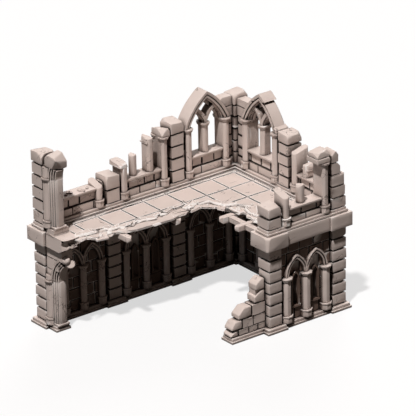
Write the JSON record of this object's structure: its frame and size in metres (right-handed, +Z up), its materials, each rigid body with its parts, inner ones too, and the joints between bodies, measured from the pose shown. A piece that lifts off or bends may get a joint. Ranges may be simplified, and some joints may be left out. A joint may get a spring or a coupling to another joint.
{
  "type": "miniature terrain ruin",
  "caption": "Ruined gothic corner building for tabletop miniatures, with a pillared ground storey and a lift-off upper storey with broken floor and pointed windows.",
  "frame": {"origin": "on the table, under the middle of the overall box", "axes": "+X along the long rear wall, -Y towards the open front, +Z up"},
  "size_m": [0.1854, 0.1262, 0.1375],
  "materials": {
    "cast_plastic": "unpainted moulded plastic with a fine matt grain"
  },
  "bodies": {
    "ground_storey": {"arcade_front": "cast_plastic", "arcade_rear_left": "cast_plastic", "arcade_rear_mid": "cast_plastic", "arcade_rear_right": "cast_plastic", "arcade_side_front": "cast_plastic", "arcade_side_rear": "cast_plastic", "jamb_ground": "cast_plastic", "pier_ground_front_left": "cast_plastic", "pier_ground_front_right": "cast_plastic", "pier_ground_rear_left": "cast_plastic", "pier_ground_rear_mid_left": "cast_plastic", "pier_ground_rear_mid_right": "cast_plastic", "pier_ground_rear_right": "cast_plastic", "pier_ground_side_mid": "cast_plastic", "plinth_front": "cast_plastic", "plinth_rear": "cast_plastic", "plinth_side": "cast_plastic", "return_ground": "cast_plastic", "wall_front": "cast_plastic", "wall_rear_left": "cast_plastic", "wall_rear_mid": "cast_plastic", "wall_rear_right": "cast_plastic", "wall_side_front": "cast_plastic", "wall_side_rear": "cast_plastic", "wing": "cast_plastic"},
    "upper_storey": {"band_front": "cast_plastic", "band_rear": "cast_plastic", "band_return": "cast_plastic", "band_side": "cast_plastic", "deck": "cast_plastic", "jamb_upper": "cast_plastic", "joist_frame": "cast_plastic", "joist_left": "cast_plastic", "joist_mid": "cast_plastic", "paving": "cast_plastic", "pier_upper_front_left": "cast_plastic", "pier_upper_front_right": "cast_plastic", "pier_upper_rear_left": "cast_plastic", "pier_upper_rear_mid_left": "cast_plastic", "pier_upper_rear_mid_right": "cast_plastic", "pier_upper_rear_right": "cast_plastic", "pier_upper_side_mid": "cast_plastic", "return_upper": "cast_plastic", "shaft_front_left": "cast_plastic", "shaft_front_right": "cast_plastic", "shaft_rear_left": "cast_plastic", "shaft_rear_mid_left": "cast_plastic", "shaft_rear_mid_right": "cast_plastic", "shaft_side_front": "cast_plastic", "tracery_rear_right": "cast_plastic", "tracery_side_rear": "cast_plastic", "wall_upper_front": "cast_plastic", "wall_upper_rear_left": "cast_plastic", "wall_upper_rear_mid": "cast_plastic", "wall_upper_rear_right": "cast_plastic", "wall_upper_side_front": "cast_plastic", "wall_upper_side_rear": "cast_plastic", "window_rear_right": "cast_plastic", "window_side_rear": "cast_plastic"}
  },
  "joints": [
    {"name": "upper_storey_lift", "type": "slide", "parent": "ground_storey", "child": "upper_storey", "axis": [0, 0, 1], "range_m": [0, 0.06]}
  ]
}
